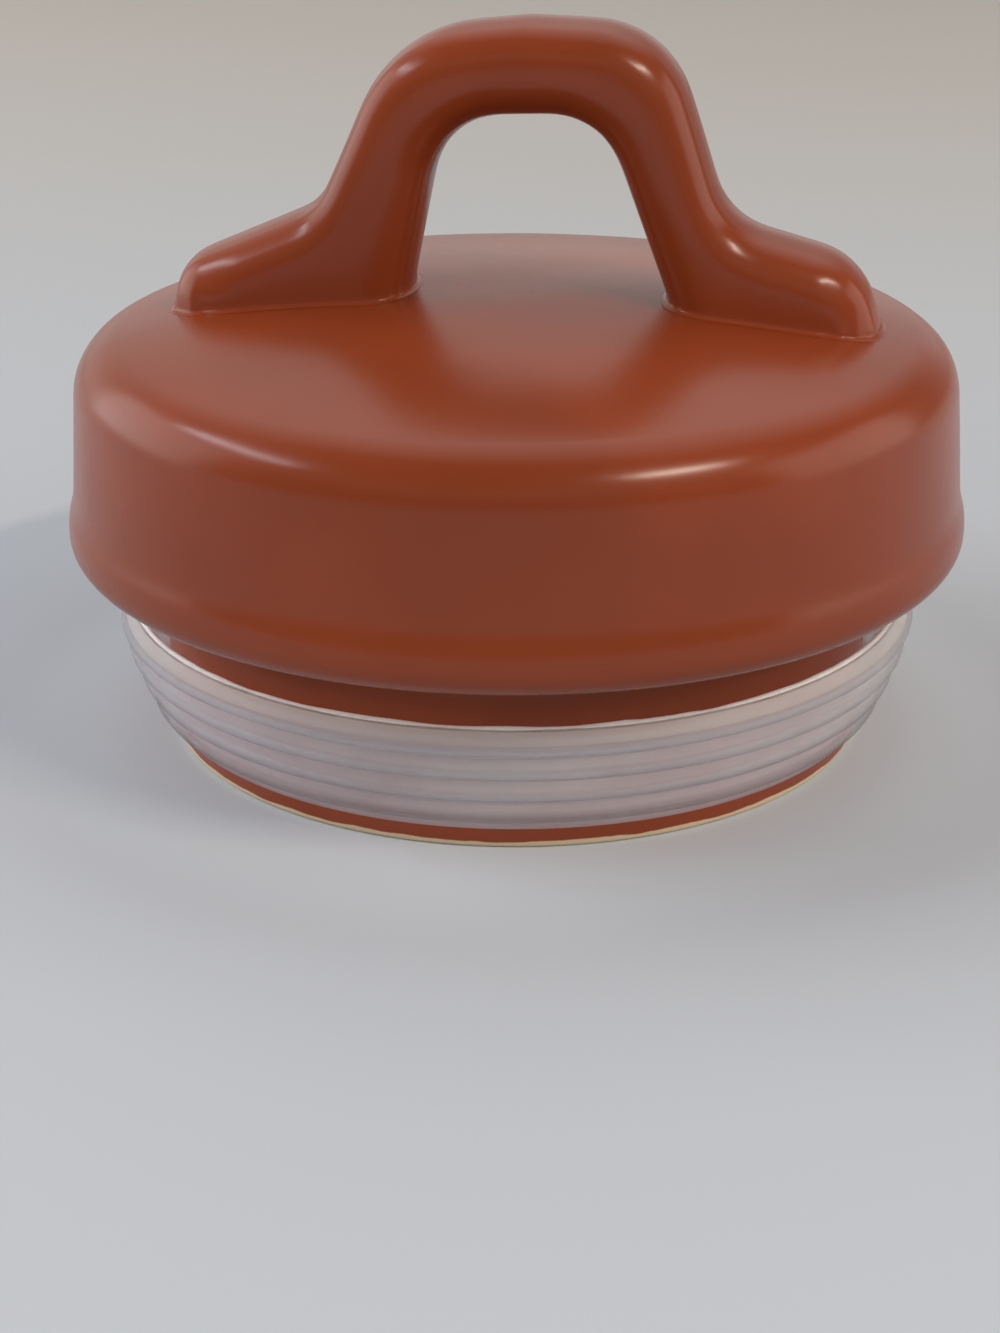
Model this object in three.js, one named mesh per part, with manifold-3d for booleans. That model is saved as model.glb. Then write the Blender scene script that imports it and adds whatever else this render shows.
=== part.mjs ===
// Ceramic canister lid: a drain-cast glazed shell that stands on the bare foot of its plug,
// a strap handle luted across the crown, and a finned seal stretched round the plug.
// Millimetres, +Z up. The origin is the centre of the foot, and the handle runs along X.

import * as THREE from 'three';
import { mergeVertices } from 'three/addons/utils/BufferGeometryUtils.js';
import Module from 'manifold-3d';

const wasm = await Module();
wasm.setup();

// Lid shell, outside
const rimRadius = 64; // widest circle, at the bead
const seatHeight = 25.4; // flat underside of the rim, above the foot
const rimEdgeRound = 5.8; // quarter round from the seat up to the bead
const beadHeight = 6.6; // the bead fades into the skirt over this height
const beadStep = 1.1; // how far the bead stands out from the skirt
const skirtDraft = 3.8; // degrees that the skirt leans in
const shoulderRound = 8;
const crownHeight = 62.7; // top of the dome above the foot
const domeRadius = 300;

// Plug under the rim
const plugTopRadius = 51.2; // where it meets the seat
const plugFootRadius = 50.3; // drafted, so that it leaves its mould
const plugCove = 1.2; // hollow corner between plug and seat
const footBevel = 0.6;

// Hollow inside, as the drained slip leaves it
const shellWall = 5;
const hollowRound = 4; // corners of the hollow
const footInnerBevel = 0.8;

// Strap handle, as an outline in the XZ plane
const fingerGap = 25.5; // clear height between crown and strap
const openingWidth = 35.4; // between the legs, at the height of the crown
const openingLean = 12.4; // degrees, inner faces of the legs
const openingRound = 12; // upper corners of the opening
const strapThickness = 10.3; // of the bar, at its ends
const barCrown = 0.7; // the bar rises by this to its middle
const barCrownRound = 90;
const legFootWidth = 14.5; // along X, at the height of the crown
const legLean = 21.2; // degrees, outer faces of the legs
const bendRound = 16.3; // outer bends between bar and legs
const sweepRound = 9.5; // hollow sweep from leg to toe
const toeReach = 50.5; // tip of a toe from the middle of the handle
const toeRise = 7.8; // top of a toe above the dome at its tip, before the nose is rounded
const toeSlope = 17; // degrees
const noseRound = 9;
const strapDepth = 18.5; // along Y
const strapEdgeRound = 4.2;
const handleOffset = 1.8; // along X from the lid's axis, as it was set by hand
const lutingGap = 0.3; // slip joint between handle and dome

// Seal on the plug
const sealBottom = 3.5; // height of its lower edge above the foot
const sealWall = 1.3;
const sealGap = 0.3; // between seal and plug
const finCount = 4;
const topFinReach = 5.3; // out from the sleeve
const bottomFinReach = 1.7;
const finTaperPower = 1.35; // the fins draw in slowly at first, then faster
const topFinHeight = 17.5; // upper edge of the top fin
const finPitch = 3.7;
const finEdge = 1.5; // thickness at the edge
const finRootRise = 0.6; // a fin's upper face climbs by this towards the sleeve
const finRootDrop = 0.2; // and its lower face falls by this
const lipRise = 0.4; // thin lip round the plug, above the top fin
const lipWall = 0.5;

// Facets
const turnSteps = 64; // round the axis
const roundSteps = 5; // along a rounded corner
const domeSteps = 6;
const edgeSteps = 4; // across the strap's rounded edges

// Colours
const glazeColour = 0xa0543a;
const sealColour = 0xd9d4d2;

const point = (x, y) => new THREE.Vector2(x, y);
const radians = THREE.MathUtils.degToRad;
const quarter = Math.PI / 2;

function arc(centre, radius, from, to, steps) {
  const clockwise = to < from;
  return new THREE.EllipseCurve(centre.x, centre.y, radius, radius, from, to, clockwise).getPoints(steps);
}

// Merges shared vertices and leaves out the triangles that close to nothing on the axis.
function weld(geometry) {
  const bare = geometry.clone();
  bare.deleteAttribute('normal');
  bare.deleteAttribute('uv');
  const merged = mergeVertices(bare, 1e-4);
  const index = merged.getIndex().array;
  const kept = [];
  for (let i = 0; i < index.length; i += 3) {
    const [a, b, c] = [index[i], index[i + 1], index[i + 2]];
    if (a !== b && b !== c && c !== a) kept.push(a, b, c);
  }
  merged.setIndex(kept);
  return merged;
}

function toSolid(geometry) {
  const welded = weld(geometry);
  const vertProperties = new Float32Array(welded.getAttribute('position').array);
  const triVerts = new Uint32Array(welded.getIndex().array);
  return new wasm.Manifold(new wasm.Mesh({ numProp: 3, vertProperties, triVerts }));
}

function fromSolid(solid) {
  const mesh = solid.getMesh();
  const geometry = new THREE.BufferGeometry();
  geometry.setAttribute('position', new THREE.BufferAttribute(mesh.vertProperties, 3));
  geometry.setIndex(new THREE.BufferAttribute(mesh.triVerts, 1));
  return geometry;
}

// A profile in (radius, height) turned about Z. It runs up the outside, so its faces point out.
function turned(profile) {
  return weld(new THREE.LatheGeometry(profile, turnSteps).rotateX(quarter));
}

// Corners { x, y, round } of a closed outline, each rounded by an arc between its two straight sides.
function roundedOutline(corners) {
  const outline = [];
  corners.forEach((corner, i) => {
    const here = point(corner.x, corner.y);
    if (!corner.round) {
      outline.push(here);
      return;
    }
    const before = corners.at(i - 1);
    const after = corners[(i + 1) % corners.length];
    const back = point(before.x, before.y).sub(here).normalize();
    const ahead = point(after.x, after.y).sub(here).normalize();
    const half = Math.acos(THREE.MathUtils.clamp(back.dot(ahead), -1, 1)) / 2;
    const middle = back.clone().add(ahead).normalize();
    const centre = here.clone().addScaledVector(middle, corner.round / Math.sin(half));
    const reach = corner.round / Math.tan(half);
    const start = here.clone().addScaledVector(back, reach).sub(centre).angle();
    const end = here.clone().addScaledVector(ahead, reach).sub(centre).angle();
    const sweep = THREE.MathUtils.euclideanModulo(end - start + Math.PI, 2 * Math.PI) - Math.PI;
    outline.push(...arc(centre, corner.round, start, start + sweep, roundSteps));
  });
  return outline;
}

// Skirt, shoulder and dome, moved out from the lid's outside by the given distance.
const beadLow = seatHeight + rimEdgeRound;
const skirtFoot = point(rimRadius - beadStep, beadLow + beadHeight);
const skirtUp = point(-Math.sin(radians(skirtDraft)), Math.cos(radians(skirtDraft)));
const skirtOut = point(skirtUp.y, -skirtUp.x);
const domeCentre = point(0, crownHeight - domeRadius);

function skirtRadiusAt(height, out) {
  const side = skirtFoot.clone().addScaledVector(skirtOut, out);
  return side.x + (height - side.y) * (skirtUp.x / skirtUp.y);
}

function domeHeightAt(radius) {
  return domeCentre.y + Math.sqrt(domeRadius ** 2 - radius ** 2);
}

// The shoulder's centre lies its round inside the skirt and inside the dome.
function shoulderAndDome(out, round) {
  const low = skirtFoot.clone().addScaledVector(skirtOut, out - round);
  const toCentre = low.clone().sub(domeCentre);
  const reach = domeRadius + out - round;
  const along = toCentre.dot(skirtUp);
  const rise = -along + Math.sqrt(along ** 2 + reach ** 2 - toCentre.lengthSq());
  const centre = low.clone().addScaledVector(skirtUp, rise);
  const domeAngle = centre.clone().sub(domeCentre).angle();
  return [
    ...arc(centre, round, radians(skirtDraft), domeAngle, roundSteps),
    ...arc(domeCentre, domeRadius + out, domeAngle, quarter, domeSteps).slice(1),
  ];
}

function plugRadiusAt(height) {
  return THREE.MathUtils.mapLinear(height, 0, seatHeight, plugFootRadius, plugTopRadius);
}

// Lid: one profile, from the roof of the hollow down to the foot and up the outside to the crown.
function lidGeometry() {
  const throatFoot = plugFootRadius - shellWall;
  const hollowFloor = seatHeight + shellWall;
  const hollowSide = skirtRadiusAt(hollowFloor + hollowRound, -shellWall);
  const throatEdge = point(plugTopRadius - shellWall + hollowRound, hollowFloor - hollowRound);
  const hollowCorner = point(hollowSide - hollowRound, hollowFloor + hollowRound);
  const upTheHollow = [
    point(throatFoot + footInnerBevel, 0),
    point(throatFoot, footInnerBevel),
    ...arc(throatEdge, hollowRound, Math.PI, quarter, roundSteps),
    ...arc(hollowCorner, hollowRound, -quarter, 0, roundSteps),
    ...shoulderAndDome(-shellWall, hollowRound),
  ];
  const cove = point(plugTopRadius + plugCove, seatHeight - plugCove);
  const rimEdge = point(rimRadius - rimEdgeRound, beadLow);
  const bead = new THREE.CubicBezierCurve(
    point(rimRadius, beadLow),
    point(rimRadius, beadLow + beadHeight / 2),
    skirtFoot.clone().addScaledVector(skirtUp, -beadHeight / 2),
    skirtFoot,
  );
  const upTheOutside = [
    point(plugFootRadius - footBevel, 0),
    point(plugFootRadius, footBevel),
    ...arc(cove, plugCove, Math.PI, quarter, roundSteps),
    ...arc(rimEdge, rimEdgeRound, -quarter, 0, roundSteps),
    ...bead.getPoints(roundSteps).slice(1),
    ...shoulderAndDome(0, shoulderRound),
  ];
  return turned([...upTheHollow.reverse(), ...upTheOutside]);
}

// Handle: the strap's side outline, pulled to its depth with rounded edges, then cut to sit on the dome.
function handleGeometry() {
  const barHeight = crownHeight + fingerGap;
  const barEnd = barHeight + strapThickness;
  const below = seatHeight; // the outline runs on under the dome, where the cut takes it off
  const openingSlant = Math.tan(radians(openingLean));
  const legSlant = Math.tan(radians(legLean));
  const toeSlant = Math.tan(radians(toeSlope));
  const innerAt = (height) => openingWidth / 2 - (height - crownHeight) * openingSlant;
  const outerAt = (height) => openingWidth / 2 + legFootWidth - (height - crownHeight) * legSlant;
  const toeTop = domeHeightAt(toeReach) + toeRise;
  // Height where the leg's outer face, as a straight line, meets the top of the toe
  const ankle = (toeTop + toeSlant * (toeReach - outerAt(0))) / (1 - toeSlant * legSlant);
  const half = [
    { x: outerAt(barEnd), y: barEnd, round: bendRound },
    { x: outerAt(ankle), y: ankle, round: sweepRound },
    { x: toeReach, y: toeTop, round: noseRound },
    { x: toeReach, y: below },
    { x: innerAt(below), y: below },
    { x: innerAt(barHeight), y: barHeight, round: openingRound },
  ];
  const mirrored = half.map((corner) => ({ ...corner, x: -corner.x })).reverse();
  const apex = { x: 0, y: barEnd + barCrown, round: barCrownRound };
  const shape = new THREE.Shape(roundedOutline([apex, ...half, ...mirrored]));
  const strap = new THREE.ExtrudeGeometry(shape, {
    depth: strapDepth - 2 * strapEdgeRound,
    bevelThickness: strapEdgeRound,
    bevelSize: strapEdgeRound,
    bevelOffset: -strapEdgeRound,
    bevelSegments: edgeSteps,
  });
  strap.translate(handleOffset, 0, strapEdgeRound - strapDepth / 2).rotateX(quarter);
  const underside = turned([
    point(0, 0),
    point(skirtRadiusAt(0, lutingGap), 0),
    ...shoulderAndDome(lutingGap, shoulderRound + lutingGap),
  ]);
  return fromSolid(toSolid(strap).subtract(toSolid(underside)));
}

// Seal: a thin sleeve on the plug with fins that shrink downwards, closed into a ring.
function sealGeometry() {
  const inner = (height) => plugRadiusAt(height) + sealGap;
  const sleeve = (height) => inner(height) + sealWall;
  const fins = Array.from({ length: finCount }, (_, i) => {
    const share = finCount > 1 ? i / (finCount - 1) : 0;
    const top = topFinHeight - i * finPitch;
    const reach = topFinReach - (topFinReach - bottomFinReach) * share ** finTaperPower;
    const radius = sleeve(top) + reach;
    const low = top - finEdge;
    const soft = finEdge / 4; // the edge is softened by a small bevel
    return [
      point(sleeve(low), low - finRootDrop),
      point(radius - soft, low),
      point(radius, low + soft),
      point(radius, top - soft),
      point(radius - soft, top),
      point(sleeve(top), top + finRootRise),
    ];
  });
  const lipFoot = topFinHeight + finRootRise;
  const lipTop = lipFoot + lipRise;
  const profile = [
    point(inner(sealBottom), sealBottom),
    point(sleeve(sealBottom), sealBottom),
    ...fins.reverse().flat(),
    point(inner(lipFoot) + lipWall, lipFoot),
    point(inner(lipTop) + lipWall, lipTop),
    point(inner(lipTop), lipTop),
    point(inner(sealBottom), sealBottom),
  ];
  return turned(profile);
}

function piece(name, geometry, colour, roughness) {
  geometry.computeVertexNormals();
  const material = new THREE.MeshStandardMaterial({ color: colour, roughness, metalness: 0 });
  const mesh = new THREE.Mesh(geometry, material);
  mesh.name = name;
  return mesh;
}

const ceramic = new THREE.Group();
ceramic.add(piece('lid', lidGeometry(), glazeColour, 0.35));
ceramic.add(piece('handle', handleGeometry(), glazeColour, 0.35));

const canisterLid = new THREE.Group();
canisterLid.add(ceramic);
canisterLid.add(piece('gasket', sealGeometry(), sealColour, 0.5));

export default canisterLid;
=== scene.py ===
# %% [markdown]
# # A glazed canister lid
#
# This lesson dresses the lid of a ceramic canister. It stands on its own plug on a pale table. The real
# thing is a cast and glazed shell, a strap handle that was luted across the crown before firing, and a
# translucent seal with four fins, stretched round the plug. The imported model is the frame: it holds every
# size and the way the lid lifts out of its seal. Each of its three solids is faceted, so each gets a finer
# skin here that sits where the solid is.

import math

import bmesh
import bpy
from mathutils import Matrix, Vector


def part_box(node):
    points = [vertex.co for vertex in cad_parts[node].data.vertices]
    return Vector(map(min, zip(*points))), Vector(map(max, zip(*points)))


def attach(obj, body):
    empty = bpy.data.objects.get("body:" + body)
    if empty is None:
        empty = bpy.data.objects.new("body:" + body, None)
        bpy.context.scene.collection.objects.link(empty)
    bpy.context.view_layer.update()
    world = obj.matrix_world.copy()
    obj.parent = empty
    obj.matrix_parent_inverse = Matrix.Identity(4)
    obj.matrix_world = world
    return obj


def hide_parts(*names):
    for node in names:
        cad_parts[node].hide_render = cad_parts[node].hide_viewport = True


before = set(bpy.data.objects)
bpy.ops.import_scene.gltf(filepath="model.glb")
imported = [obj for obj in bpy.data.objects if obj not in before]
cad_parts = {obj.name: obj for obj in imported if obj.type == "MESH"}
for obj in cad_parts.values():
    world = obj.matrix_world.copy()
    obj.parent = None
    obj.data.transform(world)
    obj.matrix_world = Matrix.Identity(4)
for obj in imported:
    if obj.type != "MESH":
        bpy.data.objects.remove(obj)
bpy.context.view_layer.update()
MM = 0.001

# %% [markdown]
# ## The camera
#
# The picture was taken from close by, a little above the lid, so the far side of each circle looks shorter
# than the near side. A lens of about 70 mm on a 36 mm sensor, 0.39 m away, gives that. The camera could be
# aimed with a constraint, but three plain turns are easier to read: round the table, down towards it, and a
# trace of roll.

# %% Camera
picture_long_side = 1333  # pixels
focal_length = 2600  # pixels
camera_place = Vector((49.7, -353.63, 152.29)) * MM
camera_turn = math.radians(8.39)
camera_dip = math.radians(22.40)
camera_roll = math.radians(-0.20)

bpy.ops.object.select_all(action="DESELECT")
bpy.ops.object.camera_add()
camera = bpy.context.object
camera.matrix_world = (
    Matrix.Translation(camera_place)
    @ Matrix.Rotation(camera_turn, 4, "Z")
    @ Matrix.Rotation(math.radians(90) - camera_dip, 4, "X")
    @ Matrix.Rotation(camera_roll, 4, "Z")
)
camera.data.sensor_width = 36
camera.data.lens = focal_length * camera.data.sensor_width / picture_long_side
bpy.context.scene.camera = camera
print("lens", round(camera.data.lens, 1), "mm, at", [round(value / MM) for value in camera_place], "mm")

# %% [markdown]
# ## Shader maths
#
# A material is a net of nodes. Wiring it node by node is long-winded, so one small class wraps a socket:
# sums, differences and products of wires add Math nodes, and one method adds any other node, with its
# settings first and then the values or links of its sockets.

# %% The wire class
class Wire:
    """One output socket in a material's node tree."""

    def __init__(self, socket):
        self.socket = socket
        self.tree = socket.id_data

    def add(self, kind, settings=None, sockets=None, output=0):
        """Adds a node of any kind and gives one of its outputs."""
        node = self.tree.nodes.new(kind)
        for name, value in (settings or {}).items():
            setattr(node, name, value)
        for name, value in (sockets or {}).items():
            if isinstance(value, Wire):
                self.tree.links.new(value.socket, node.inputs[name])
            else:
                node.inputs[name].default_value = value
        return Wire(node.outputs[output])

    def maths(self, operation, first, second):
        return self.add("ShaderNodeMath", {"operation": operation}, {0: first, 1: second})

    def __add__(self, other):
        return self.maths("ADD", self, other)

    def __radd__(self, other):
        return self.maths("ADD", other, self)

    def __sub__(self, other):
        return self.maths("SUBTRACT", self, other)

    def __rsub__(self, other):
        return self.maths("SUBTRACT", other, self)

    def __mul__(self, other):
        return self.maths("MULTIPLY", self, other)

    def __rmul__(self, other):
        return self.maths("MULTIPLY", other, self)

    def noise(self, scale, detail=3.0):
        """Cloudy noise on this wire's coordinates, about 0 to 1, with features of 1 / scale metres."""
        sockets = {"Vector": self, "Scale": scale, "Detail": detail}
        return self.add("ShaderNodeTexNoise", None, sockets)

    def ramp(self, low, high):
        """0 where the wire is at or below low, 1 at or above high, and smooth between."""
        sockets = {"Value": self, "From Min": low, "From Max": high}
        return self.add("ShaderNodeMapRange", {"interpolation_type": "SMOOTHSTEP"}, sockets)

    def mix(self, first, second):
        """A colour between two others, by this wire."""
        return self.add("ShaderNodeMix", {"data_type": "RGBA"}, {0: self, 6: first, 7: second}, 2)

    def axis(self, number):
        """One coordinate of this wire: 0 is X, 1 is Y and 2 is Z."""
        return self.add("ShaderNodeSeparateXYZ", None, {"Vector": self}, number)

    def radius(self):
        """How far this wire's coordinates lie from the Z axis."""
        across = self.axis(0)
        depth = self.axis(1)
        return self.maths("SQRT", across * across + depth * depth, 0.0)


def new_material(name):
    """A material, its shader's sockets and a wire with Object coordinates."""
    material = bpy.data.materials.new(name)
    material.use_nodes = True
    shader = material.node_tree.nodes["Principled BSDF"]
    place = Wire(material.node_tree.nodes.new("ShaderNodeTexCoord").outputs["Object"])
    return material, shader, place


def plug_in(shader, name, wire):
    wire.tree.links.new(wire.socket, shader.inputs[name])


def bump(shader, height, strength, distance):
    """Small relief: a height wire through a Bump node into the shader's normal."""
    sockets = {"Height": height, "Strength": strength, "Distance": distance}
    plug_in(shader, "Normal", height.add("ShaderNodeBump", None, sockets))


print("node helpers ready")

# %% [markdown]
# ## The table and the light
#
# The lid stands in a bright room. A sky texture would do for an outdoor scene, but a room is easier to
# steer as a few plain shades by direction: a lit wall beyond the lid, a brighter zone where it meets the
# ceiling, and dimmer behind the camera. Two thin lights, a cool window on the left and a warmer lamp on the
# right, leave the streaks on the shoulder, and two broad ones stand for the side walls. The rest are low
# glows that show no reflection of their own. Light from low down reaches under the rim, so the lid's shadow
# stays pale. The view transform is Standard, so that a colour renders about as it is written.

# %% Table and world
bpy.context.scene.view_settings.view_transform = "Standard"

table_size = 6.0
bpy.ops.object.select_all(action="DESELECT")
bpy.ops.mesh.primitive_plane_add(size=table_size)
table = bpy.context.object
table.name = "table"

room_dim = (0.13, 0.128, 0.125, 1)  # behind the camera and over it
room_low = (0.66, 0.655, 0.64, 1)  # the foot of the wall beyond the lid
room_wall = (0.47, 0.465, 0.455, 1)  # the rest of that wall
room_bright = (1.05, 1.03, 1.0, 1)  # high up, where it meets the ceiling
wall_foot_fade = (0.1, 0.4)  # heights of a direction, as sines
beyond_fade = (0.3, 1.0)
beyond_left = 0.8  # how far the wall beyond reaches round to the left
ceiling_rise = math.radians(60)  # the middle of the bright zone, over the table
ceiling_fade = (0.74, 1.0)

room = bpy.data.worlds.new("room")
room.use_nodes = True
bpy.context.scene.world = room
room_light = room.node_tree.nodes["Background"]
direction = Wire(room.node_tree.nodes.new("ShaderNodeTexCoord").outputs["Generated"])
rightward = direction.axis(0)
backward = direction.axis(1)
upward = direction.axis(2)
wall = upward.ramp(*wall_foot_fade).mix(room_low, room_wall)
beyond = (backward - rightward * beyond_left).ramp(*beyond_fade).mix(room_dim, wall)
to_ceiling = backward * math.cos(ceiling_rise) + upward * math.sin(ceiling_rise)
plug_in(room_light, "Color", to_ceiling.ramp(*ceiling_fade).mix(beyond, room_bright))
print("table", table_size, "m wide")

# %% Lights
light_target = Vector((0, 0, 0.04))


def soft_light(name, azimuth, elevation, distance, width, height, power, colour):
    """An area light on a sphere round the lid, facing it. Azimuth 0 is at -Y, and 90 at +X."""
    turn = math.radians(azimuth)
    rise = math.radians(elevation)
    outward = Vector((math.sin(turn) * math.cos(rise), -math.cos(turn) * math.cos(rise), math.sin(rise)))
    bpy.ops.object.select_all(action="DESELECT")
    bpy.ops.object.light_add(type="AREA", location=light_target + outward * distance)
    light = bpy.context.object
    light.name = name
    light.rotation_euler = outward.to_track_quat("Z", "Y").to_euler()
    light.data.shape = "RECTANGLE"
    light.data.size = width
    light.data.size_y = height
    light.data.energy = power
    light.data.color = colour
    return light


# In each row: name, azimuth, elevation, distance, width, height, power and colour.
highlight_lights = (
    ("window", -80, 40, 1.5, 0.9, 0.045, 4.0, (0.84, 0.90, 1.0)),
    ("lamp", 56, 45, 1.3, 0.42, 0.055, 5.4, (1.0, 0.86, 0.72)),
    ("left_wall", -100, 14, 1.8, 1.6, 1.2, 8.0, (0.98, 0.98, 1.0)),
    ("right_wall", 100, 14, 1.8, 1.6, 1.2, 8.0, (1.0, 0.92, 0.84)),
)
for light_row in highlight_lights:
    soft_light(*light_row)

glow_distance = 1.3
glow_width = 1.0
glow_height = 0.3
glow_colour = (1.0, 0.95, 0.90)
# In each row: azimuth, elevation and power.
glows = ((-95, 20, 6.4), (-40, 30, 2.0), (5, 26, 2.2), (45, 30, 1.8), (95, 20, 3.4))
for side, rise, power in glows:
    glow = soft_light("glow", side, rise, glow_distance, glow_width, glow_height, power, glow_colour)
    glow.visible_glossy = False

# %% [markdown]
# ## Throwing a round wall
#
# The shell and the seal are both turned forms. Blender has a Screw modifier and a Spin tool for such a
# form. Here the wall is drawn up ring by ring instead, as clay is drawn up on a wheel: a circle is extruded
# to the next height and scaled to the next radius, again and again. Every ring then lies where the profile
# asks for it, close together on the tight rounds and far apart on the straight walls. The profile is a list
# of points of radius and height in millimetres, whose rounds are arcs.

# %% Helpers for edit mode
same_place = 0.01  # places closer than this, in millimetres, count as one
doubles_within = 0.002 * MM


def arc(centre, radius, start, end, steps):
    """Points of an arc in a profile, from one angle to another, in degrees."""
    turns = [math.radians(start + (end - start) * k / steps) for k in range(steps + 1)]
    return [Vector((centre[0] + radius * math.cos(a), centre[1] + radius * math.sin(a))) for a in turns]


def line(start, end, steps):
    """Points of a straight stretch, without its two ends."""
    return [Vector(start).lerp(Vector(end), k / steps) for k in range(1, steps)]


def select_items(piece, kind, test):
    """In edit mode, selects just the faces, edges or verts that pass a test, and gives their number."""
    mesh = bmesh.from_edit_mesh(piece.data)
    for part in (mesh.faces, mesh.edges, mesh.verts):
        for item in part:
            item.select_set(False)
    chosen = [item for item in getattr(mesh, kind) if test(item)]
    for item in chosen:
        item.select_set(True)
    if kind == "verts":
        mesh.select_flush(True)
    bmesh.update_edit_mesh(piece.data)
    return len(chosen)


def select_where(piece, test):
    """In edit mode, selects just the vertices whose place in millimetres passes a test."""
    return select_items(piece, "verts", lambda vertex: test(vertex.co / MM))


def start_ring(name, ring, steps):
    """A circle primitive, left in edit mode with all of it selected."""
    bpy.ops.object.select_all(action="DESELECT")
    bpy.ops.mesh.primitive_circle_add(vertices=steps, radius=ring[0] * MM)
    piece = bpy.context.object
    piece.name = name
    bpy.ops.object.mode_set(mode="EDIT")
    bpy.ops.transform.translate(value=(0, 0, ring[1] * MM))
    return piece


def throw(rings):
    """Draws the selected ring, which is the first of the list, through all the others."""
    for here, there in zip(rings, rings[1:]):
        rise = (there[1] - here[1]) * MM
        spread = there[0] / here[0]
        bpy.ops.mesh.extrude_edges_move(TRANSFORM_OT_translate={"value": (0, 0, rise)})
        bpy.ops.transform.resize(value=(spread, spread, 1), center_override=(0, 0, there[1] * MM))


def close_mesh(smooth_angle):
    """Merges doubles, turns the faces outwards, leaves edit mode and shades the piece."""
    bpy.ops.mesh.select_all(action="SELECT")
    bpy.ops.mesh.remove_doubles(threshold=doubles_within)
    bpy.ops.mesh.normals_make_consistent(inside=False)
    bpy.ops.object.mode_set(mode="OBJECT")
    bpy.ops.object.shade_smooth_by_angle(angle=math.radians(smooth_angle))


def described(piece):
    """The piece's name, its triangles and its box in millimetres, for printing."""
    piece.data.calc_loop_triangles()
    places = [vertex.co / MM for vertex in piece.data.vertices]
    low = [round(min(place[k] for place in places), 2) for k in range(3)]
    high = [round(max(place[k] for place in places), 2) for k in range(3)]
    return f"{piece.name}: {len(piece.data.loop_triangles)} triangles, from {low} to {high} mm"


print("helpers for profiles and edit mode ready")

# %% [markdown]
# ## The profile of the shell
#
# A drain-cast shell has rounds everywhere, because slip fills no sharp corner: a bevel on the foot, a cove
# under the rim, a round on the rim's lower edge, a soft bead, a leaning skirt, a tight shoulder and a low
# dome. The rim's edge stands a little higher than the flat seat, so that the jar's lip bears on the seat
# alone. The two overall sizes come from the frame. The shoulder's round has to touch both the skirt's line
# and the dome's circle, so its centre is found where the two, moved in by the round, cross.

# %% Sizes of the shell
_, lid_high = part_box("lid")
rim_radius = lid_high.x / MM
crown_height = lid_high.z / MM
seat_height = 25.4
rim_edge_round = 3.9
rim_relief = 0.9  # the rim's edge stands this much higher than the seat
bead_height = 6.3
bead_step = 1.0
seat_radius = 58.2
skirt_draft = 3.8  # degrees
shoulder_round = 8.0
dome_radius = 300.0
plug_top_radius = 51.2
plug_foot_radius = 50.3
plug_cove = 1.2
foot_bevel = 0.6
print("shell", round(rim_radius, 2), "mm in radius and", round(crown_height, 2), "mm high")

# %% Shoulder, dome and bead
bead_low = seat_height + rim_relief + rim_edge_round
skirt_foot = Vector((rim_radius - bead_step, bead_low + bead_height))
skirt_up = Vector((-math.sin(math.radians(skirt_draft)), math.cos(math.radians(skirt_draft))))
skirt_out = Vector((skirt_up.y, -skirt_up.x))
dome_centre = Vector((0, crown_height - dome_radius))


def dome_height(radius):
    return dome_centre.y + math.sqrt(dome_radius**2 - radius**2)


def shoulder_and_dome(inward, round_radius, round_steps, dome_steps):
    """Shoulder arc and dome up to near the axis, moved in from the outside by a wall's thickness."""
    low = skirt_foot - skirt_out * (inward + round_radius)
    reach = dome_radius - inward - round_radius
    along = (low - dome_centre).dot(skirt_up)
    rise = math.sqrt(along**2 + reach**2 - (low - dome_centre).length_squared) - along
    centre = low + skirt_up * rise
    tilt = math.degrees(math.atan2(centre.y - dome_centre.y, centre.x))
    shoulder = arc(centre, round_radius, skirt_draft, tilt, round_steps)
    near_axis = 90 - (90 - tilt) / (dome_steps + 1)
    dome = arc(dome_centre, dome_radius - inward, tilt, near_axis, dome_steps)
    return shoulder + dome[1:]


def bead_curve(steps):
    """The bead fades into the skirt on a curve that is upright below and leans with the skirt above."""
    start = Vector((rim_radius, bead_low))
    first = start + Vector((0, bead_height / 2))
    second = skirt_foot - skirt_up * bead_height / 2
    points = []
    for k in range(1, steps + 1):
        t = k / steps
        near = start * (1 - t) ** 3 + first * 3 * t * (1 - t) ** 2
        far = second * 3 * t**2 * (1 - t) + skirt_foot * t**3
        points.append(near + far)
    return points


outer_shoulder = shoulder_and_dome(0, shoulder_round, round_steps=14, dome_steps=16)
print("skirt from", round(bead_low + bead_height, 2), "to", round(outer_shoulder[0].y, 2), "mm high")

# %% Outside of the shell
foot_edge = (plug_foot_radius - foot_bevel, foot_bevel)
cove_centre = (plug_top_radius + plug_cove, seat_height - plug_cove)
rim_edge_centre = (rim_radius - rim_edge_round, bead_low)
plug_wall_low = (plug_foot_radius, foot_bevel)
plug_wall_high = (plug_top_radius, cove_centre[1])
seat_inner = (cove_centre[0], seat_height)
seat_outer = (seat_radius, seat_height)
outside = [
    *arc(foot_edge, foot_bevel, -90, 0, 4),
    *line(plug_wall_low, plug_wall_high, 8),
    *arc(cove_centre, plug_cove, 180, 90, 5),
    *line(seat_inner, seat_outer, 4),
    Vector(seat_outer),
    *arc(rim_edge_centre, rim_edge_round, -90, 0, 12),
    *bead_curve(10),
    *line(skirt_foot, outer_shoulder[0], 5),
    *outer_shoulder,
]
print("outside of the shell:", len(outside), "rings, widest", max(point.x for point in outside), "mm")

# %% [markdown]
# The photo hides the inside, so it is a guess. Slip that is poured into a plaster mould and drained again
# leaves a wall of even thickness, here 5 mm, and rounds every inner corner.

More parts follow.
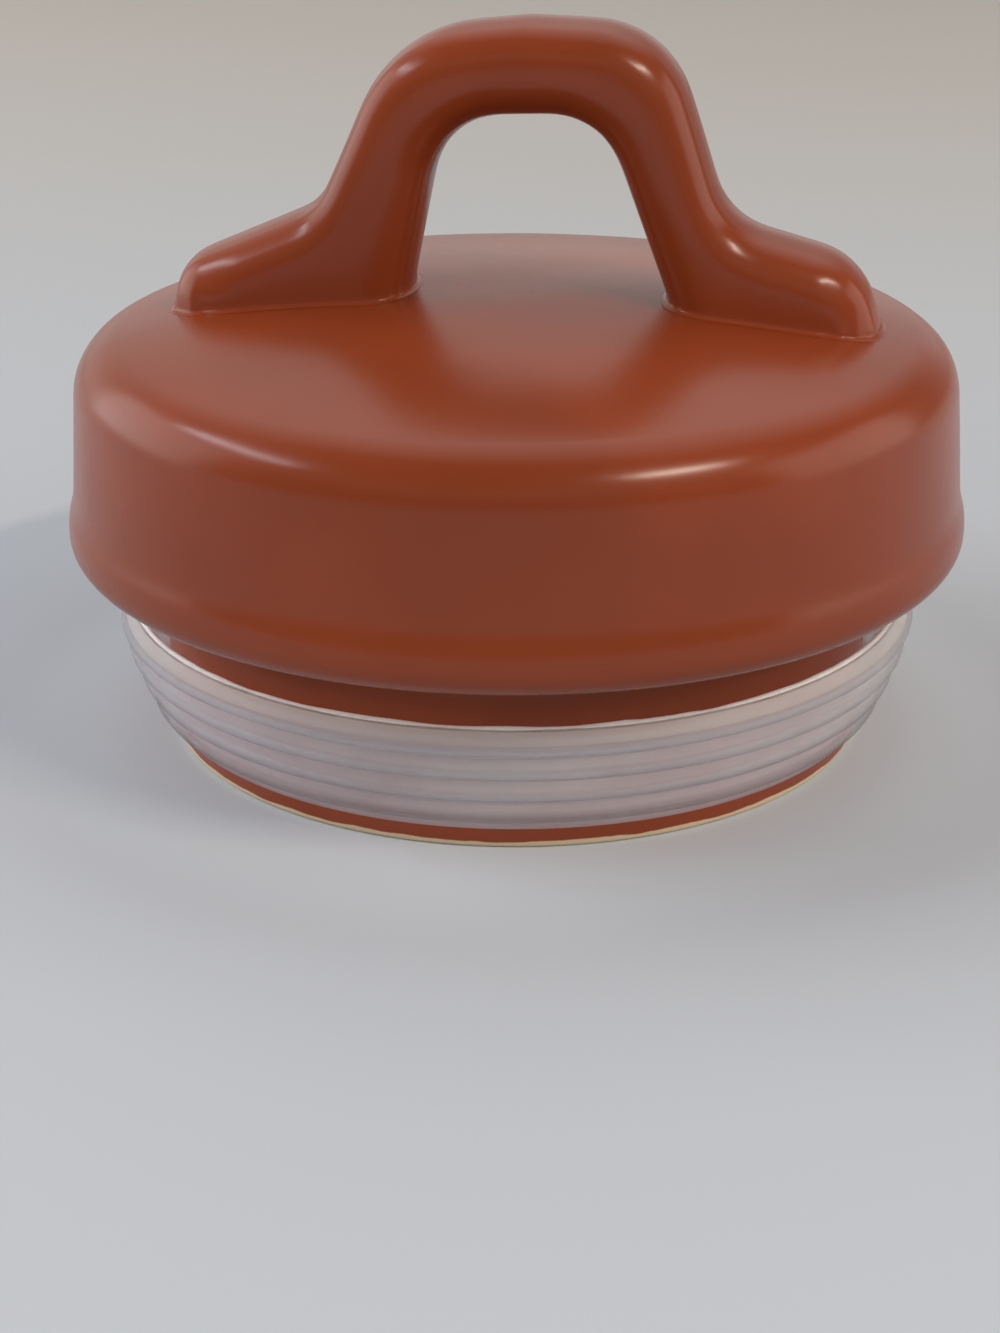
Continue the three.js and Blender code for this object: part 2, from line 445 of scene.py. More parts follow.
# %% Inside of the shell
shell_wall = 5.0
hollow_round = 4.0
foot_inner_bevel = 0.8

throat_radius = plug_foot_radius - shell_wall
hollow_floor = seat_height + shell_wall
hollow_shoulder = shoulder_and_dome(shell_wall, hollow_round, round_steps=8, dome_steps=12)
hollow_side = hollow_shoulder[0].x - skirt_up.x / skirt_up.y * (hollow_shoulder[0].y - hollow_floor)
throat_edge = (plug_top_radius - shell_wall + hollow_round, hollow_floor - hollow_round)
hollow_corner = (hollow_side - hollow_round, hollow_floor + hollow_round)
inside = [
    Vector((throat_radius + foot_inner_bevel, 0)),
    Vector((throat_radius, foot_inner_bevel)),
    *line((throat_radius, foot_inner_bevel), (throat_edge[0] - hollow_round, throat_edge[1]), 5),
    *arc(throat_edge, hollow_round, 180, 90, 6),
    *arc(hollow_corner, hollow_round, -90, 0, 6),
    *line((hollow_side, hollow_corner[1]), hollow_shoulder[0], 4),
    *hollow_shoulder,
]
print("inside of the shell:", len(inside), "rings")

# %% Throw the shell
shell_steps = 160

shell = start_ring("ceramic_shell", inside[0], shell_steps)
throw([inside[0], *outside])
bpy.ops.mesh.merge(type="CENTER")
foot_inner = inside[0].x + same_place
select_where(shell, lambda place: place.z < same_place and place.xy.length < foot_inner)
throw(inside)
bpy.ops.mesh.merge(type="CENTER")
close_mesh(smooth_angle=35)
print(described(shell))

# %% [markdown]
# ## The hand in the casting
#
# No cast lid is a perfect solid of revolution: it slumps by a few tenths of a millimetre as it dries and
# fires, and that is what makes a highlight on a glaze look alive. A Displace modifier with a soft cloud
# texture gives such a slow wave. It is held off the plug and foot by a vertex group, so the lid still
# stands flat.

# %% Slow waves in the shell
wave_size = 45 * MM
wave_height = 0.5 * MM

bpy.ops.object.mode_set(mode="EDIT")
select_where(shell, lambda place: place.z > bead_low)
bpy.ops.object.vertex_group_assign_new()
shell.vertex_groups.active.name = "slumped"
bpy.ops.object.vertex_group_smooth(repeat=12)
bpy.ops.object.mode_set(mode="OBJECT")
slump = bpy.data.textures.new("slump", type="CLOUDS")
slump.noise_scale = wave_size
bpy.ops.object.modifier_add(type="DISPLACE")
wave = shell.modifiers[-1]
wave.texture = slump
wave.texture_coords = "LOCAL"
wave.strength = wave_height
wave.vertex_group = "slumped"
bpy.ops.object.modifier_apply(modifier=wave.name)
print(described(shell))

# %% [markdown]
# ## The strap handle
#
# The handle is a flat strap of clay, bent to an arch with its two ends laid out along the lid as toes. It
# was formed by hand, so its two halves differ: the bar slopes, one leg leans more than the other, and one
# toe is lower. Seen from the side each half has an outer line (nose, toe, sweep, leg, bend and bar) and an
# inner line (the finger gap). A curve with a bevel profile would give an even strap, but this one is thick
# at the feet and thin on the bar, so both lines are drawn as edges, one vertex after the other, and bridged
# into a ribbon.

# %% Sizes of the two halves
handle_low, handle_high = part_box("handle")
finger_room = 24.8  # from the crown up to the bar
bar_height = crown_height + finger_room
strap_thickness = 10.8
bar_crown = 1.3
bar_slope = math.radians(2.0)
strap_depth = (handle_high.y - handle_low.y) / MM
handle_offset = 1.7  # from the lid's axis
toe_end = 50.0  # about where the toes end, from the lid's axis
strap_sunk = 5.0  # the strap starts under the dome there, and is cut later
strap_low = dome_height(toe_end) - strap_sunk

right_half = {
    "gap": 20.1,  # half the finger gap, at the height of the crown
    "gap_lean": math.radians(21.1),
    "gap_round": 10.7,
    "leg_foot": 30.7,
    "leg_lean": math.radians(18.6),
    "bend_round": 14.7,
    "sweep_round": 10.4,
    "toe_reach": 49.1,
    "toe_rise": 8.8,
    "toe_slope": math.radians(14.8),
    "nose_round": 9.4,
    "nose_lean": math.radians(18.2),
}
left_half = {
    "gap": 16.7,
    "gap_lean": math.radians(11.3),
    "gap_round": 10.4,
    "leg_foot": 34.0,
    "leg_lean": math.radians(24.1),
    "bend_round": 17.8,
    "sweep_round": 9.2,
    "toe_reach": 50.2,
    "toe_rise": 6.7,
    "toe_slope": math.radians(24.4),
    "nose_round": 7.0,
    "nose_lean": math.radians(10.2),
}
bar_ends = [round(bar_height, 1), round(bar_height + strap_thickness, 1)]
print("strap", strap_depth, "mm deep, bar between heights", bar_ends, "mm")


# %% Rounded corners and even steps
def rounded(before, corner, after, radius, steps):
    """The arc that rounds a corner, from the side of one neighbour to the side of the other."""
    back = (before - corner).normalized()
    ahead = (after - corner).normalized()
    half = back.angle(ahead) / 2
    centre = corner + (back + ahead).normalized() * radius / math.sin(half)
    first = corner + back * radius / math.tan(half) - centre
    last = corner + ahead * radius / math.tan(half) - centre
    start = math.degrees(math.atan2(first.y, first.x))
    turn = math.degrees(math.atan2(first.x * last.y - first.y * last.x, first.dot(last)))
    return arc(centre, radius, start, start + turn, steps)


def spread_along(points, count):
    """Points at even steps along a chain of points, the two ends included."""
    lengths = [0.0]
    for here, there in zip(points, points[1:]):
        lengths.append(lengths[-1] + (there - here).length)
    placed = []
    for k in range(count + 1):
        goal = lengths[-1] * k / count
        stretch = max(i for i in range(len(points) - 1) if lengths[i] <= goal or i == 0)
        share = (goal - lengths[stretch]) / (lengths[stretch + 1] - lengths[stretch])
        placed.append(points[stretch].lerp(points[stretch + 1], share))
    return placed


print("helpers for corners ready")

# %% [markdown]
# The two lines of a half are cut into matching stretches, so that the edges between them stand square to
# the strap: toe over the foot, sweep against the ankle, leg against leg, bend against the corner of the
# gap.

# %% Lines of one half
nose_heel_inset = 5.0  # from the toe's tip
toe_heel_inset = 8.0
sweep_heel_outset = 1.0  # from the ankle
leg_middle_height = 73.5
sweep_middle = 6  # points along the sweep's arc
gap_bend_start = 8  # points along the arc of the gap's corner
gap_bend_end = 19


def half_lines(half):
    """The outer and the inner line of one half, as lists of equal length, from nose to bar."""
    toe_foot = dome_height(half["toe_reach"])
    toe_top = toe_foot + half["toe_rise"]
    bar_end = bar_height + strap_thickness

    def nose(height):
        return Vector((half["toe_reach"] - (height - toe_foot) * math.tan(half["nose_lean"]), height))

    def leg(height):
        return Vector((half["leg_foot"] - (height - crown_height) * math.tan(half["leg_lean"]), height))

    def gap(height):
        return Vector((half["gap"] - (height - crown_height) * math.tan(half["gap_lean"]), height))

    tip = nose(toe_top)
    climb = math.tan(half["toe_slope"])
    ankle_height = (toe_top + climb * (tip.x - leg(0).x)) / (1 - climb * math.tan(half["leg_lean"]))
    ankle = leg(ankle_height)
    bend = leg(bar_end)
    bar_top = Vector((0, bar_end + bar_crown))
    bar_under = Vector((0, bar_height))
    nose_arc = rounded(nose(strap_low), tip, ankle, half["nose_round"], 12)
    sweep_arc = rounded(tip, ankle, bend, half["sweep_round"], 12)
    bend_arc = rounded(ankle, bend, bar_top, half["bend_round"], 16)
    gap_arc = rounded(gap(strap_low), gap(bar_height), bar_under, half["gap_round"], 24)
    nose_heel = Vector((tip.x - nose_heel_inset, strap_low))
    toe_heel = Vector((tip.x - toe_heel_inset, strap_low))
    sweep_heel = Vector((ankle.x + sweep_heel_outset, strap_low))
    leg_middle = gap(leg_middle_height)
    gap_bend = gap_arc[gap_bend_start : gap_bend_end + 1]
    # In each row: the outer part, the inner part and the number of steps along both.
    stretches = [
        ([nose(strap_low), *nose_arc], [nose_heel, toe_heel], 10),
        ([nose_arc[-1], sweep_arc[0]], [toe_heel, sweep_heel], 6),
        (sweep_arc[: sweep_middle + 1], [sweep_heel, gap(strap_low)], 3),
        (sweep_arc[sweep_middle:], [gap(strap_low), leg_middle], 3),
        ([sweep_arc[-1], bend_arc[0]], [leg_middle, *gap_arc[: gap_bend_start + 1]], 5),
        (bend_arc, gap_bend, 9),
        ([bend_arc[-1], bar_top], [*gap_arc[gap_bend_end:], bar_under], 4),
    ]
    outer = [stretches[0][0][0]]
    inner = [stretches[0][1][0]]
    for outer_part, inner_part, count in stretches:
        outer += spread_along(outer_part, count)[1:]
        inner += spread_along(inner_part, count)[1:]
    return outer, inner


right_lines = half_lines(right_half)
left_lines = half_lines(left_half)
print("each line of a half has", len(right_lines[0]), "points")

# %% Join the halves and slope the bar
slope_start = 66.0  # below this height the legs don't slope
slope_fade = 18.0  # from there up to the full slope


def sloped(point):
    """The bar slopes, and the slope fades out down the legs."""
    share = min(max((point.y - slope_start) / slope_fade, 0), 1)
    return Vector((point.x, point.y + point.x * math.tan(bar_slope) * share))


whole_lines = []
for right_line, left_line in zip(right_lines, left_lines):
    mirrored = [Vector((-point.x, point.y)) for point in reversed(left_line)]
    whole_lines.append([sloped(point) for point in [*right_line, *mirrored[1:]]])
outer_line, inner_line = whole_lines
print("strap lines:", len(outer_line), "and", len(inner_line), "points, top at", max(p.y for p in outer_line))


# %% Draw the lines and bridge them
def draw_line(points, depth):
    """In edit mode, a plane merged to one vertex and extruded from point to point at one depth."""
    bpy.ops.mesh.select_all(action="DESELECT")
    bpy.ops.mesh.primitive_plane_add(size=MM)
    bpy.ops.mesh.merge(type="CENTER")
    bpy.ops.transform.translate(value=(points[0].x * MM, depth * MM, points[0].y * MM))
    for here, there in zip(points, points[1:]):
        step = (there - here) * MM
        bpy.ops.mesh.extrude_vertices_move(TRANSFORM_OT_translate={"value": (step.x, 0, step.y)})


bpy.ops.object.select_all(action="DESELECT")
bpy.ops.mesh.primitive_plane_add(size=MM)
handle = bpy.context.object
handle.name = "strap_handle"
bpy.ops.object.mode_set(mode="EDIT")
bpy.ops.mesh.delete(type="VERT")
draw_line(outer_line, -strap_depth / 2)
draw_line(inner_line, -strap_depth / 2)
bpy.ops.mesh.select_all(action="SELECT")
bpy.ops.mesh.bridge_edge_loops()
bpy.ops.mesh.select_all(action="SELECT")
bpy.ops.mesh.extrude_region_move(TRANSFORM_OT_translate={"value": (0, strap_depth * MM, 0)})
bpy.ops.mesh.select_all(action="SELECT")
bpy.ops.mesh.normals_make_consistent(inside=False)
bpy.ops.object.mode_set(mode="OBJECT")
print(described(handle))

# %% [markdown]
# ## A comfortable edge
#
# Seen end on, the strap is full and round on its inner face, where the fingers go, and flatter on the outer
# one. So the inner edges get a wider bevel than the outer ones. Before that, the faces under the feet are
# taken away, because a bevel would round the feet there too. The flats that are left between the bevels are
# then cut along three lines and raised by up to half a millimetre, so that light slides over them as on
# pulled clay.

# %% Take the faces under the feet away
facing_down = -0.9  # Z of a face's normal, below which it looks down


def under_foot(face):
    low = face.calc_center_median().z / MM < strap_low + same_place
    return low and face.normal.z < facing_down


bpy.ops.object.mode_set(mode="EDIT")
bpy.ops.mesh.select_mode(type="FACE")
opened = select_items(handle, "faces", under_foot)
bpy.ops.mesh.delete(type="FACE")
print("faces taken away under the feet:", opened)

# %% Round the long edges
inner_edge_round = 5.5
outer_edge_round = 5.0


def runs_along(points):
    """A test for the strap's edges that run along a drawn line, above the feet's lower ends."""

    def test(edge):
        first, second = (vertex.co / MM for vertex in edge.verts)
        level = abs(first.y - second.y) < same_place
        raised = max(first.z, second.z) > strap_low + same_place
        ends = [Vector((end.x, end.z)) for end in (first, second)]
        on_line = [any((end - point).length < same_place for point in points) for end in ends]
        return level and raised and all(on_line)

    return test


bpy.ops.mesh.select_mode(type="EDGE")
for points, edge_round in ((inner_line, inner_edge_round), (outer_line, outer_edge_round)):
    number = select_items(handle, "edges", runs_along(points))
    bpy.ops.mesh.bevel(
        offset=edge_round * MM,
        offset_type="OFFSET",
        segments=7,
        profile=0.5,
        clamp_overlap=False,
        loop_slide=True,
    )
    print(number, "edges rounded by", edge_round, "mm")

# %% Crown the flat faces
face_crown = 0.5
crown_rings = (-3.1, 0.0, 3.1)  # places across the depth, in millimetres
flat_half = strap_depth / 2 - outer_edge_round

bpy.ops.mesh.select_mode(type="VERT")
for ring in crown_rings:
    bpy.ops.mesh.select_all(action="SELECT")
    bpy.ops.mesh.bisect(plane_co=(0, ring * MM, 0), plane_no=(0, 1, 0))
for ring in crown_rings:
    number = select_where(handle, lambda place: abs(place.y - ring) < same_place)
    rise = face_crown * (1 - (ring / flat_half) ** 2)
    bpy.ops.transform.shrink_fatten(value=rise * MM)
    print(number, "vertices raised by", round(rise, 2), "mm")

# %% Pinch the toes and set the handle on its place
pinch = 0.955  # the toe narrows to this share at each start
pinch_starts = (42.0, 44.5, 46.5, 48.0)  # from the middle of the handle

for start in pinch_starts:
    select_where(handle, lambda place: abs(place.x) > start)
    bpy.ops.transform.resize(value=(1, pinch, 1), center_override=(0, 0, 0))
bpy.ops.mesh.select_all(action="SELECT")
bpy.ops.transform.translate(value=(handle_offset * MM, 0, 0))
bpy.ops.object.mode_set(mode="OBJECT")
print(described(handle))

# %% [markdown]
# ## Luting the feet
#
# The handle is stuck to the leather-hard lid with slip, and the slip is smoothed into a small hollow fillet
# that the glaze rounds further. Each foot is cut by the dome's own tangent plane, raised by the fillet. The
# open edge is then extruded down and outwards in small steps of a quarter ellipse, and after each step a
# Shrinkwrap modifier sets the new ring at its own height over the dome, so that the last one fades into it.

# %% Cut the feet
fillet_height = 0.7
fillet_reach = 0.9
fillet_steps = 6

bpy.ops.object.mode_set(mode="EDIT")
for side, half in ((1, right_half), (-1, left_half)):
    foot_middle = handle_offset + side * (half["gap"] + half["toe_reach"]) / 2
    foot_up = Vector((foot_middle, 0, dome_height(foot_middle) - dome_centre.y)).normalized()
    touch = Vector((foot_middle, 0, dome_height(foot_middle))) + foot_up * fillet_height
    select_where(handle, lambda place: (place.x - handle_offset) * side > same_place)
    bpy.ops.mesh.bisect(plane_co=touch * MM, plane_no=foot_up, use_fill=False, clear_inner=True)
bpy.ops.mesh.select_all(action="SELECT")
bpy.ops.mesh.remove_doubles(threshold=same_place * MM)
bpy.ops.mesh.normals_make_consistent(inside=False)
bpy.ops.object.mode_set(mode="OBJECT")
print(described(handle))


# %% Draw the fillets out
def lay_on_dome(group, lift):
    """Sets a vertex group of the handle at a height over the shell, straight up or down."""
    bpy.ops.object.modifier_add(type="SHRINKWRAP")
    lay = handle.modifiers[-1]
    lay.target = shell
    lay.wrap_method = "PROJECT"
    lay.use_project_z = True
    lay.use_negative_direction = True
    lay.use_positive_direction = True
    lay.offset = lift * MM
    lay.vertex_group = group
    bpy.ops.object.modifier_apply(modifier=lay.name)


sunk = -0.03  # the last ring lies just under the dome
bpy.ops.object.mode_set(mode="EDIT")
bpy.ops.mesh.select_all(action="DESELECT")
bpy.ops.mesh.select_non_manifold(extend=False, use_wire=False, use_multi_face=False, use_verts=False)
quarter_steps = [math.radians(90) * k / fillet_steps for k in range(fillet_steps + 1)]
for here, there in zip(quarter_steps, quarter_steps[1:]):
    drop = fillet_height * (math.sin(there) - math.sin(here)) * MM
    reach = fillet_reach * (math.cos(here) - math.cos(there)) * MM
    bpy.ops.mesh.extrude_edges_move(TRANSFORM_OT_translate={"value": (0, 0, -drop)})
    bpy.ops.transform.shrink_fatten(value=reach)
    bpy.ops.object.vertex_group_assign_new()
    bpy.ops.object.mode_set(mode="OBJECT")
    last_ring = handle.vertex_groups.active.name
    lay_on_dome(last_ring, max(fillet_height * (1 - math.sin(there)), sunk))
    bpy.ops.object.mode_set(mode="EDIT")
bpy.ops.object.mode_set(mode="OBJECT")
print(described(handle), "last ring", last_ring)

# %% Smooth the strap
bpy.ops.object.modifier_add(type="SUBSURF")
soften = handle.modifiers[-1]
soften.levels = 1
soften.render_levels = 1
bpy.ops.object.modifier_apply(modifier=soften.name)
lay_on_dome(last_ring, sunk)
bpy.ops.object.shade_smooth()
print(described(handle))

# %% [markdown]
# ## The seal
#
# The seal is one soft moulding with four fins that shrink downwards, so that the lid finds its own way into
# the jar. Its lower part hugs the plug. Higher up it stands off like a cup, with a groove behind it, and
# ends in a thin lip, where the two halves of the mould leave a ragged edge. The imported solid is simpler: it
# hugs the plug all the way up. The seal is thrown like the shell, as a closed ring.

# %% Profile of the seal
seal_low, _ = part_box("gasket")
seal_bottom = seal_low.z / MM
seal_wall = 1.3
seal_gap = 0.06
fin_count = 4
top_fin_reach = 5.3
bottom_fin_reach = 1.7
fin_taper_power = 1.35
top_fin_height = 17.5
fin_pitch = 3.7
fin_edge = 1.5
fin_edge_round = 0.74
fin_root_rise = 0.6
fin_root_drop = 0.2
lip_radius = 55.3
lip_height = 19.7
lip_wall = 0.7
groove_height = 9.0  # above it the seal stands off the plug, like a cup
flare_clear = 1.0  # the flare leaves the top fin this far outside the lip


def plug_radius(height):
    return plug_foot_radius + (plug_top_radius - plug_foot_radius) * height / seat_height


def inner_radius(height):
    """The seal hugs the plug up to the groove's foot, and flares out to its lip above that."""
    share = max(0, (height - groove_height) / (lip_height - groove_height))
    stand_off = lip_radius - lip_wall / 2 - plug_radius(lip_height) - seal_gap
    return plug_radius(height) + seal_gap + stand_off * share


def sleeve_radius(height):
    return inner_radius(height) + seal_wall


def fin_height(number):
    return top_fin_height - number * fin_pitch


def fin_radius(number):
    share = number / (fin_count - 1)
    reach = top_fin_reach - (top_fin_reach - bottom_fin_reach) * share**fin_taper_power
    return plug_radius(fin_height(number)) + seal_gap + seal_wall + reach


def fin(number):
    """The outline of one fin, from its lower root round its edge to its upper root."""
    high = fin_height(number)
    low = high - fin_edge
    inset = fin_radius(number) - fin_edge_round
    root_low = Vector((sleeve_radius(low), low - fin_root_drop))
    root_high = Vector((sleeve_radius(high), high + fin_root_rise))
    lower_edge = arc((inset, low + fin_edge_round), fin_edge_round, -90, 0, 4)
    upper_edge = arc((inset, high - fin_edge_round), fin_edge_round, 0, 90, 4)
    face_low = line(root_low, lower_edge[0], 3)
    face_high = line(upper_edge[-1], root_high, 3)
    return [root_low, *face_low, *lower_edge, *upper_edge, *face_high, root_high]


seal_inner_low = Vector((inner_radius(seal_bottom), seal_bottom))
groove_foot = Vector((inner_radius(groove_height), groove_height))
lip_outside = Vector((lip_radius + lip_wall / 2, lip_height - lip_wall / 4))
lip_inside = Vector((lip_radius - lip_wall / 2, lip_height - lip_wall / 4))
seal_profile = [seal_inner_low, Vector((sleeve_radius(seal_bottom), seal_bottom))]
for number in reversed(range(1, fin_count)):
    seal_profile += fin(number)
top_fin = fin(0)
flare_start = max(k for k, point in enumerate(top_fin) if point.x > lip_outside.x + flare_clear)
seal_profile += [
    *top_fin[: flare_start + 1],
    *line(top_fin[flare_start], lip_outside, 4),
    lip_outside,
    Vector((lip_radius, lip_height)),
    lip_inside,
    *line(lip_inside, groove_foot, 4),
    groove_foot,
    *line(groove_foot, seal_inner_low, 5),
]
print("seal profile:", len(seal_profile), "points, widest", round(max(p.x for p in seal_profile), 2), "mm")

# %% Throw the seal
seal = start_ring("finned_seal", seal_profile[0], shell_steps)
throw([*seal_profile, seal_profile[0]])
close_mesh(smooth_angle=40)
print(described(seal))

# %% Ragged lip
flash_size = 7 * MM
flash_height = 0.5 * MM

bpy.ops.object.mode_set(mode="EDIT")
select_where(seal, lambda place: place.z > lip_height - lip_wall / 2)
bpy.ops.object.vertex_group_assign_new()
seal.vertex_groups.active.name = "lip"
bpy.ops.object.mode_set(mode="OBJECT")
flash = bpy.data.textures.new("flash", type="CLOUDS")
flash.noise_scale = flash_size
bpy.ops.object.modifier_add(type="DISPLACE")
tear = seal.modifiers[-1]
tear.texture = flash
tear.texture_coords = "LOCAL"
tear.direction = "Z"
tear.strength = flash_height
tear.mid_level = 0.6
tear.vertex_group = "lip"
bpy.ops.object.modifier_apply(modifier=tear.name)
print(described(seal))

# %% [markdown]
# ## Glaze on clay
#
# The glaze is a satin brick orange, the same on shell and handle. It is even, but not flat: it drifts a
# little between redder and browner, and has a very fine orange peel. The foot was wiped bare before firing,
# because glaze would stick to the kiln shelf, so the cream clay shows in a line under the plug. That line
# is a step on the height, with a little noise to make it wander.

# %% Glaze
glaze_red = (0.250, 0.044, 0.012, 1)
glaze_brown = (0.216, 0.039, 0.011, 1)
clay_light = (0.62, 0.50, 0.34, 1)
clay_dark = (0.55, 0.43, 0.28, 1)
drift_scale = 28  # features per metre, as for the other scales
peel_scale = 600
wander_scale = 160
grain_scale = 2500
drift_fade = (0.35, 0.65)
glaze_line = 0.85 * MM
line_wander = 0.8 * MM
line_blur = 0.1 * MM
glaze_roughness = 0.22
peel_roughness = 0.04
clay_roughness = 0.5  # on top of the glaze's own
relief_strength = 0.04
relief_height = 0.15 * MM

glaze, glaze_shader, place = new_material("terracotta_glaze")
drift = place.noise(drift_scale, detail=2.0).ramp(*drift_fade)
peel = place.noise(peel_scale, detail=1.0)
height = place.axis(2)
wander = (place.noise(wander_scale) - 0.5) * line_wander
bare = 1 - (height + wander).ramp(glaze_line - line_blur, glaze_line + line_blur)
grain = place.noise(grain_scale)
clay_colour = grain.mix(clay_dark, clay_light)
plug_in(glaze_shader, "Base Color", bare.mix(drift.mix(glaze_red, glaze_brown), clay_colour))
plug_in(glaze_shader, "Roughness", glaze_roughness + peel * peel_roughness + bare * clay_roughness)
bump(glaze_shader, peel * (1 - bare) + grain * bare, relief_strength, relief_height)
glaze_shader.inputs["Specular IOR Level"].default_value = 0.37
for piece in (shell, handle):
    piece.data.materials.append(glaze)
print("glaze on", shell.name, "and", handle.name)

# %% [markdown]
# ## Frosted seal
#
# The seal is a soft, milky rubber that is partly see-through. On the fins that stand out past the plug the
# table shows through, and in front the brown plug only warms it. Transmission, as for glass, would be too
# clear here, so the alpha makes the surface part transparent, and light that meets the rest spreads below
# it, which softens every edge. Shade is painted into its colour: the fins' edges and the lower part are
# painted greyer, and the top face has a painted tone of its own. The lip is a pale torn line, a painted
# highlight, over a painted shadow. Light passes the seal, so it throws no shadow on the table or the plug.

# %% Colours of the seal
# painted light and shade: the top face has its own tone, set for how light falls on it under the rim
top_face_painted_tone = (0.64, 0.605, 0.58, 1)
# painted shade: the milk is darker lower down, where the fins above shade it
milk_high = (0.64, 0.67, 0.72, 1)
milk_painted_shade_low = (0.42, 0.415, 0.455, 1)
# painted shade: the fins' edges are painted greyer, as they catch less light than the faces between them, and
# darker still lower down
edge_painted_shade_high = (0.34, 0.345, 0.38, 1)
edge_painted_shade_low = (0.13, 0.127, 0.142, 1)
# painted highlight: the pale line along the lip, which carries light along its edge
lip_painted_highlight = (1.0, 0.97, 0.92, 1)
# painted shadow: the dark line in the gap just under the lip
seam_painted_shadow = (0.14, 0.09, 0.07, 1)
print("seal from", milk_painted_shade_low[:3], "low down to", milk_high[:3], "higher up")

# %% [markdown]
# The shader has to tell the edge of a fin from the groove beside it, at any height. The fins' edges lie on
# a curve that runs in towards the plug on the way down, so a parabola through the first, second and last
# fin gives the radius at which an edge would lie, and what comes close to it counts as edge.

# %% Places on the seal
cloud_scale = 60  # features per metre, as for the other scales
frost_scale = 1800
torn_scale = 140
cloud_fade = (0.3, 0.7)
torn_fade = (0.42, 0.62)
edge_fade = (-1.4 * MM, 0.1 * MM)  # from the fins' envelope
outside_fade = (0.1 * MM, 0.3 * MM)  # from the lip's radius
# the lip's pale line is a painted highlight
lip_highlight_line = 0.25  # the pale line starts this far below the lip's foot
# the painted shadow under the lip starts this far below the lip's foot
seam_shadow_line = 0.5
line_fade = 0.1
seam_shadow_least = 0.6  # where the lip isn't torn

frosted, seal_shader, place = new_material("frosted_seal")
cloud = place.noise(cloud_scale).ramp(*cloud_fade)
frost = place.noise(frost_scale, detail=2.0)
height = place.axis(2)
radius = place.radius()

middle = fin_height(0) - fin_edge / 2
last_fin = fin_count - 1
first_slope = (fin_radius(0) - fin_radius(1)) / fin_pitch
last_slope = (fin_radius(0) - fin_radius(last_fin)) / (last_fin * fin_pitch)
curving = (last_slope - first_slope) / ((last_fin - 1) * fin_pitch)
down = middle * MM - height
steepness = (first_slope - curving * fin_pitch) + down * (curving / MM)
fin_envelope = fin_radius(0) * MM - down * steepness
# painted shade: 1 on the fins' edges, which are painted greyer
edge = (radius - fin_envelope).ramp(*edge_fade)
lip_foot = lip_height - lip_wall / 4
# painted highlight: 1 on the lip's pale line
lip = height.ramp((lip_foot - lip_highlight_line) * MM, (lip_foot - lip_highlight_line + line_fade) * MM)
torn = place.noise(torn_scale, detail=2.0).ramp(*torn_fade)
outside_lip = (radius - lip_radius * MM).ramp(*outside_fade)
# painted shadow: the dark line under the lip, outside its radius, fainter where the lip isn't torn
under_lip = height.ramp((lip_foot - seam_shadow_line) * MM, (lip_foot - seam_shadow_line + line_fade) * MM)
seam_shadow = under_lip * outside_lip * (seam_shadow_least + torn * (1 - seam_shadow_least))
print("lip from", round(lip_foot - lip_highlight_line, 2), "mm high, seam from", round(lip_foot - seam_shadow_line, 2), "mm")

# %% Seal material
milk_fade = (0.0, 17 * MM)
cloud_drift = 2 * MM
top_face_fade = 0.5
# how strong the painted shadow under the lip is
seam_shadow_weight = 0.8
see_through = 0.42
cloud_alpha = 0.05
lip_alpha = 0.6
frost_roughness = 0.42
grain_roughness = 0.12
frost_strength = 0.03
frost_height = 0.1 * MM
scatter_weight = 0.7
scatter_depth = 4 * MM

# painted shade: 0 low down, where the seal is painted darker, and 1 higher up
upper = (height + (cloud - 0.5) * cloud_drift).ramp(*milk_fade)
# painted light: 1 on the top face, which gets its painted tone
top_face = height.ramp((top_fin_height - top_face_fade) * MM, top_fin_height * MM)
milk = top_face.mix(upper.mix(milk_painted_shade_low, milk_high), top_face_painted_tone)
# painted shade: the fins' edges greyer than the milk between them
milk_with_painted_shade = edge.mix(milk, upper.mix(edge_painted_shade_low, edge_painted_shade_high))
# painted shadow: the dark line under the lip
with_seam_shadow = (seam_shadow * seam_shadow_weight).mix(milk_with_painted_shade, seam_painted_shadow)
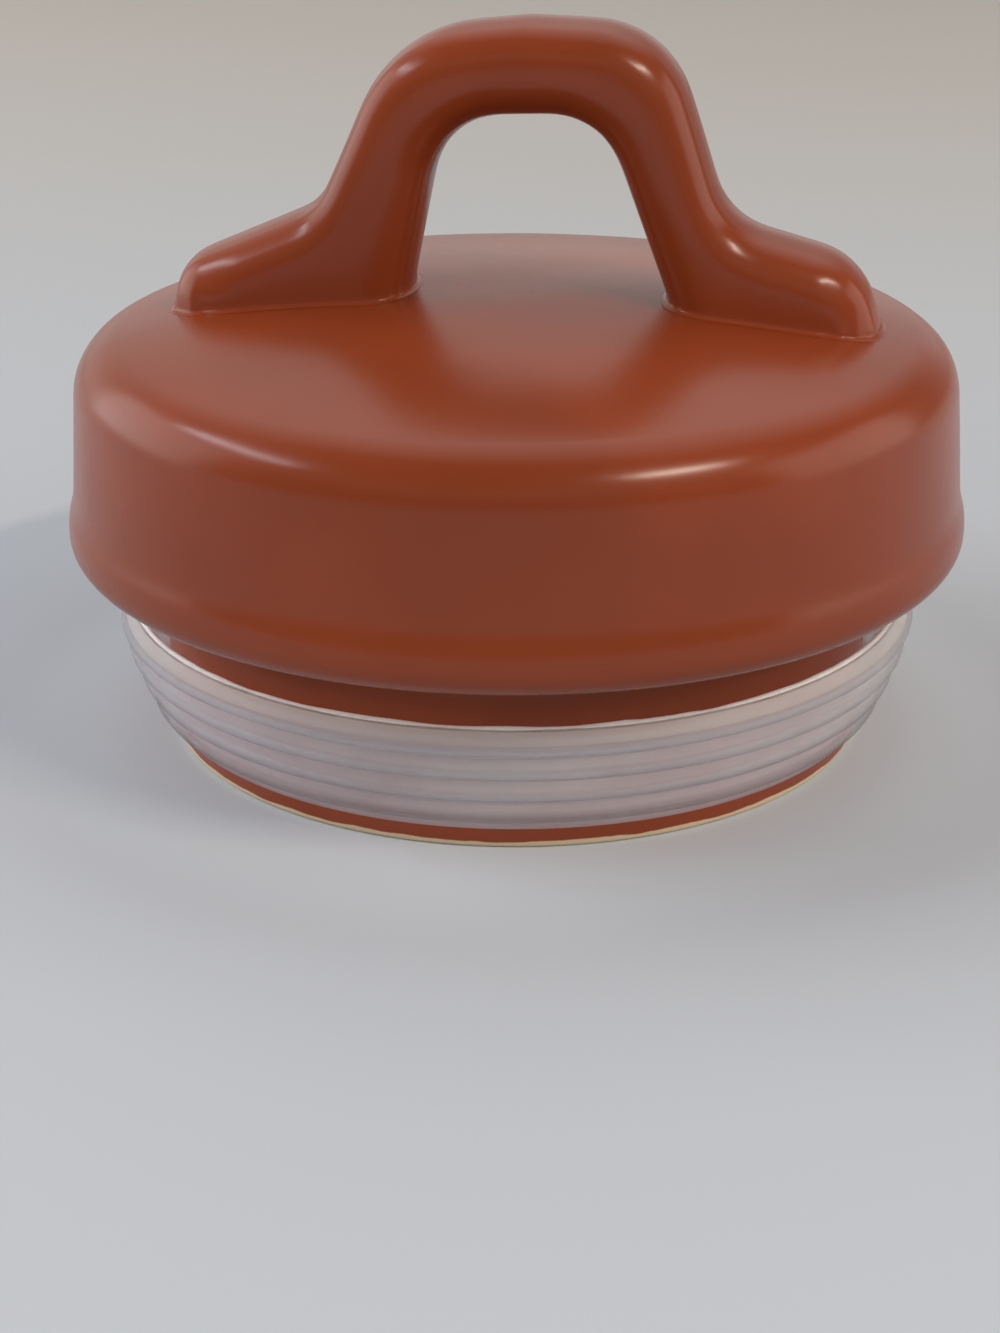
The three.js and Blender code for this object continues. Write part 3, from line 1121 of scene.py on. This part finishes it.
# painted highlight: the pale line along the lip
plug_in(seal_shader, "Base Color", lip.mix(with_seam_shadow, lip_painted_highlight))
plug_in(seal_shader, "Roughness", frost_roughness + frost * grain_roughness)
plug_in(seal_shader, "Alpha", see_through + cloud * cloud_alpha + lip * lip_alpha)
bump(seal_shader, frost, frost_strength, frost_height)
seal_shader.inputs["IOR"].default_value = 1.41
seal_shader.inputs["Subsurface Weight"].default_value = scatter_weight
seal_shader.inputs["Subsurface Radius"].default_value = (1, 1, 1)
seal_shader.inputs["Subsurface Scale"].default_value = scatter_depth
seal.data.materials.append(frosted)
seal.visible_shadow = False
seal.visible_diffuse = False
print("frosted rubber on", seal.name)

# %% [markdown]
# ## The table top
#
# The table is a plain pale laminate. Its colour is painted cooler in front and warmer further back, as the
# room's light falls on it. A room lights it from every side, so the lid throws hardly a shadow. The few
# lights of this set-up can't do that alone, so light is painted in: the top is a little paler in a ring
# round the foot.

# %% Table top
# painted light: cooler in front and warmer further back, as the room's light falls
table_front_cool_light = (0.46, 0.497, 0.548, 1)
table_back_warm_light = (0.495, 0.47, 0.435, 1)
# painted light: paler round the foot, filling the lid's shadow
table_painted_fill_light = (0.545, 0.605, 0.665, 1)  # round the foot of the lid
near_fade = (58 * MM, 80 * MM)
far_fade = (0.0, 0.65)  # metres behind the lid
far_drift = 0.1
table_drift_scale = 3  # features per metre
speckle_scale = 300
table_roughness = 0.6
speckle_roughness = 0.15

laminate, table_shader, place = new_material("pale_table")
depth = place.axis(1)
# painted light: 1 in the ring round the foot
near = 1 - place.radius().ramp(*near_fade)
# painted light: 1 further back, where the light is warmer
far = (depth + (place.noise(table_drift_scale, detail=1.0) - 0.5) * far_drift).ramp(*far_fade)
plug_in(table_shader, "Base Color", near.mix(far.mix(table_front_cool_light, table_back_warm_light), table_painted_fill_light))
plug_in(table_shader, "Roughness", table_roughness + place.noise(speckle_scale) * speckle_roughness)
table.data.materials.append(laminate)
print("table top", table.name)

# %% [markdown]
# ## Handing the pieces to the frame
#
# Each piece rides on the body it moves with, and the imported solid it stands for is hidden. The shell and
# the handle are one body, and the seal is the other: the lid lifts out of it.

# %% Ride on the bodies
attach(shell, "lid")
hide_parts("lid")
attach(handle, "lid")
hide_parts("handle")
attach(seal, "seal")
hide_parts("gasket")
